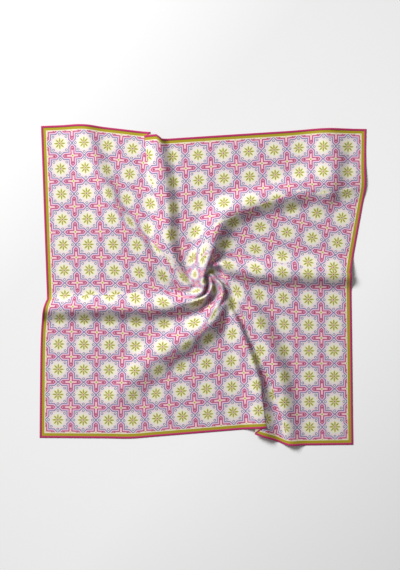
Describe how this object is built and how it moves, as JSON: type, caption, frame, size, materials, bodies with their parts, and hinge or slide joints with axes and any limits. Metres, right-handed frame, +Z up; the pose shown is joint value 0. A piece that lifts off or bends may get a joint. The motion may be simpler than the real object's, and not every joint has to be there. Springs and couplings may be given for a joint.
{
  "type": "square cotton scarf",
  "caption": "Square printed cotton scarf with rolled hems, pinched and twisted at its middle so that soft folds run out from there, lying on a table.",
  "frame": {"origin": "under the middle of the scarf's box, on the surface it lies on", "axes": "+Z up off the surface, +Y towards the scarf's top hem, +X towards its right hem, seen from above"},
  "size_m": [0.6536, 0.6424, 0.0209],
  "materials": {
    "printed_cotton": "matte plain-weave cotton with a print in pink, slate and yellow-green",
    "hem_cotton": "matte magenta cotton, rolled and stitched"
  },
  "bodies": {
    "root": {"scarf_panel": "printed_cotton", "hem_top": "hem_cotton", "hem_right": "hem_cotton", "hem_bottom": "hem_cotton", "hem_left": "hem_cotton"}
  },
  "joints": []
}
